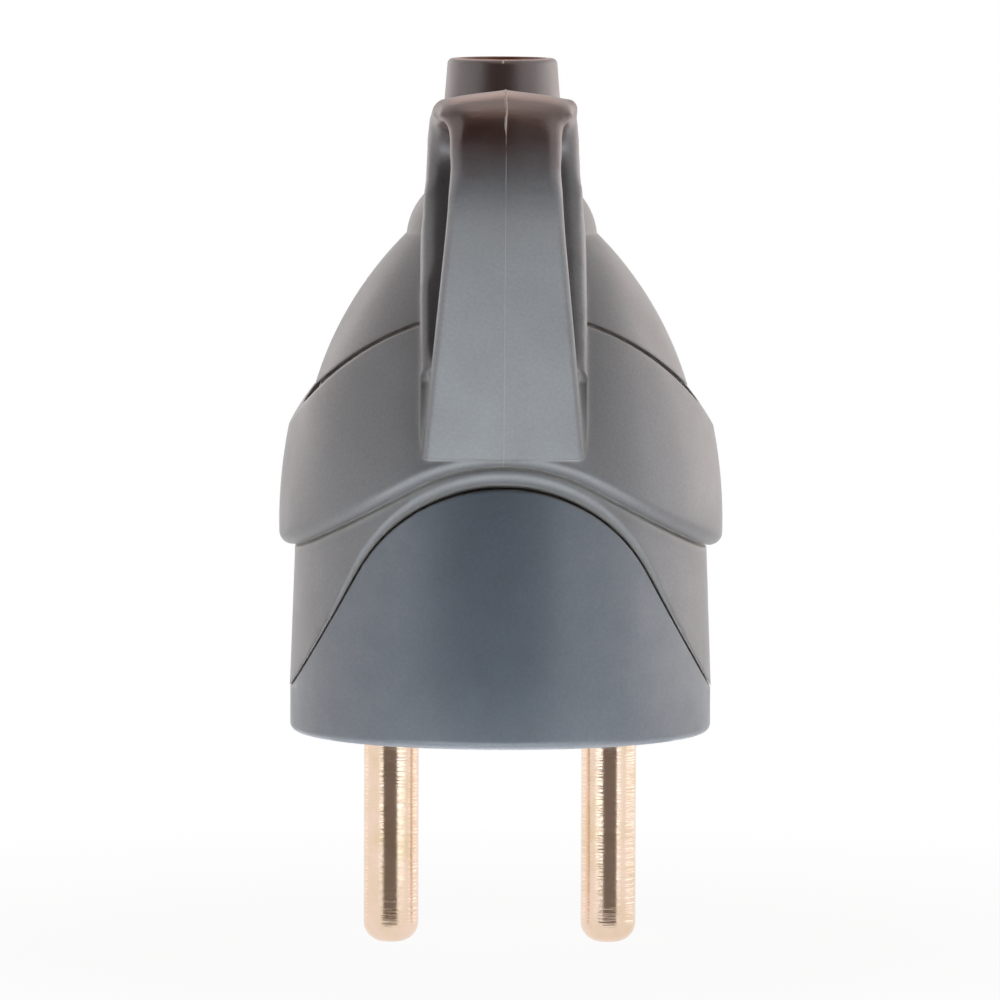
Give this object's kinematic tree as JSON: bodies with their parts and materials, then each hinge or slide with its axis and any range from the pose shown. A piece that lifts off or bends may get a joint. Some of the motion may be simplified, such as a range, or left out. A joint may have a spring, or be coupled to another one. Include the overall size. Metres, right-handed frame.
{
  "type": "electrical plug",
  "caption": "Round rewirable mains plug with brass pins, a domed grey hood with an arched collar, a tapered cord nose and a finger pull ring.",
  "frame": {"origin": "middle of the plug's flat face, half way between the pins", "axes": "+Z away from the wall outlet towards the cord, pins towards -Z and side by side along X, pull ring towards -Y"},
  "size_m": [0.0386, 0.0463, 0.0773],
  "materials": {
    "hood_plastic": "fine matte grey moulding",
    "carrier_plastic": "satin blue-grey moulding",
    "brass": "turned, pale",
    "steel": "zinc plated"
  },
  "bodies": {
    "root": {"hood": "hood_plastic", "contact_carrier": "carrier_plastic", "pin_left": "brass", "pin_right": "brass", "earth_contact": "brass", "terminal_screws": "steel", "cord_clamp_bar": "carrier_plastic", "cord_clamp_screws": "steel", "fixing_screw": "steel", "fixing_nut": "steel"}
  },
  "joints": []
}
